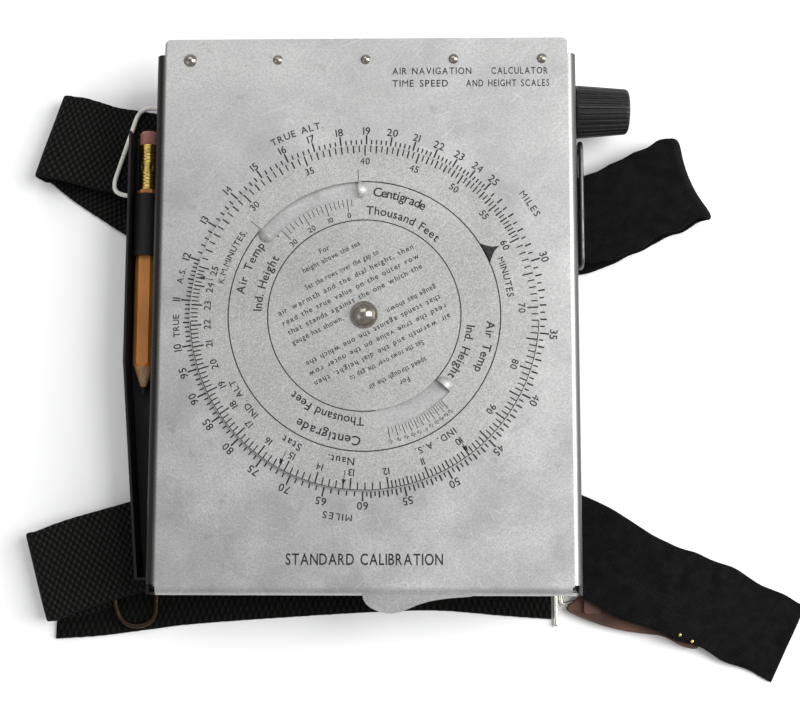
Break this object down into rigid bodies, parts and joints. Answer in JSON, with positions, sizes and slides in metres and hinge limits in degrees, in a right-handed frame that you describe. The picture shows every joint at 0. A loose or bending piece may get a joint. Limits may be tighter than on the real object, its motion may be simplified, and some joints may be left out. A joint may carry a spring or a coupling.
{
  "type": "strap-on navigational flight computer",
  "caption": "Knee-strap flight computer: circular slide rule on a hinged aluminium lid over a black case with a roller chart, compass rose, side knob, pencil channel and webbing straps.",
  "frame": {"origin": "on the case's flat back face, straight below the dial's pivot", "axes": "+X to the knob side, +Y along the case towards the lid hinge, +Z out of the back through the lid"},
  "size_m": [0.2745, 0.2238, 0.0354],
  "materials": {
    "case_black": "semi-matt black enamel, worn at the edges",
    "lid_aluminium": "satin, fine speckle and handling scratches",
    "disc_aluminium": "speckled satin anodising",
    "nickel": "polished",
    "steel": "plain",
    "dark_steel": "blackened",
    "brass": "bright",
    "white_wire": "white enamel",
    "brown_wire": "brown enamel",
    "cream_wire": "cream enamel",
    "knob_black": "moulded phenolic",
    "face_black": "matt black",
    "rose_paint": "matt cream with black figures",
    "rose_clear": "clear celluloid",
    "chart_cloth": "coated linen chart",
    "roller_wood": "turned and waxed",
    "webbing": "coarse black webbing",
    "hook_loop": "black hook-and-loop tape",
    "leather": "tan, smooth",
    "pencil_paint": "orange lacquer over cedar",
    "graphite": "graphite",
    "eraser": "pink rubber"
  },
  "bodies": {
    "case": {"case_shell": "case_black", "case_hinge_leaf": "case_black", "case_leaf_rivets": "dark_steel", "hinge_pin": "steel", "catch_spring": "brass", "catch_rivets": "steel", "face_plate": "face_black", "face_screws": "steel", "rose_retainer": "face_black", "retainer_screws": "steel", "chart_platen": "steel", "left_side_frame": "steel", "right_side_frame": "steel", "drive_bush": "brass", "chart_belt": "chart_cloth", "pencil_channel": "case_black", "channel_rivets": "dark_steel", "pencil_clip": "case_black", "upper_left_lug": "dark_steel", "lower_left_lug": "dark_steel", "upper_right_lug": "dark_steel", "upper_left_ring": "white_wire", "lower_left_ring": "brown_wire", "upper_right_ring": "dark_steel", "lower_right_ring": "cream_wire", "buckle_bar": "cream_wire", "upper_webbing": "webbing", "lower_left_loop": "webbing", "lower_webbing": "webbing", "upper_right_strap": "hook_loop", "lower_right_strap": "hook_loop", "leather_tab": "leather", "strap_keeper": "leather", "tab_rivets": "brass"},
    "lid": {"lid_shell": "lid_aluminium", "lid_hinge_leaf": "lid_aluminium", "lid_rivets": "nickel", "dial_stud": "nickel", "dial_washer": "nickel", "spring_washer": "steel", "dial_nut": "nickel"},
    "dial": {"minutes_disc": "disc_aluminium"},
    "rose": {"rose_ring": "rose_paint", "rose_glass": "rose_clear"},
    "drive": {"drive_knob": "knob_black", "grub_screw": "steel", "drive_shaft": "steel", "drive_roller": "roller_wood"},
    "idler": {"idler_shaft": "steel", "idler_roller": "roller_wood"},
    "pencil": {"pencil_wood": "pencil_paint", "pencil_lead": "graphite", "pencil_ferrule": "brass", "pencil_eraser": "eraser"}
  },
  "joints": [
    {"name": "lid_hinge", "type": "hinge", "parent": "case", "child": "lid", "pos_m": [0, 0.0944, 0.0254], "axis": [-1, 0, 0], "range_deg": [0, 150]},
    {"name": "dial_turn", "type": "hinge", "parent": "lid", "child": "dial", "pos_m": [0, 0, 0.029], "axis": [0, 0, 1], "continuous": true},
    {"name": "rose_turn", "type": "hinge", "parent": "case", "child": "rose", "pos_m": [0, 0, 0.023], "axis": [0, 0, 1], "continuous": true},
    {"name": "knob_turn", "type": "hinge", "parent": "case", "child": "drive", "pos_m": [0.0612, 0.0754, 0.0125], "axis": [1, 0, 0], "continuous": true},
    {"name": "idler_turn", "type": "hinge", "parent": "case", "child": "idler", "pos_m": [0.0612, -0.0754, 0.0125], "axis": [1, 0, 0], "continuous": true},
    {"name": "pencil_slide", "type": "slide", "parent": "case", "child": "pencil", "axis": [0, 1, 0], "range_m": [0, 0.11]}
  ],
  "couplings": [
    {"joint": "idler_turn", "follows": "knob_turn", "ratio": 1}
  ]
}
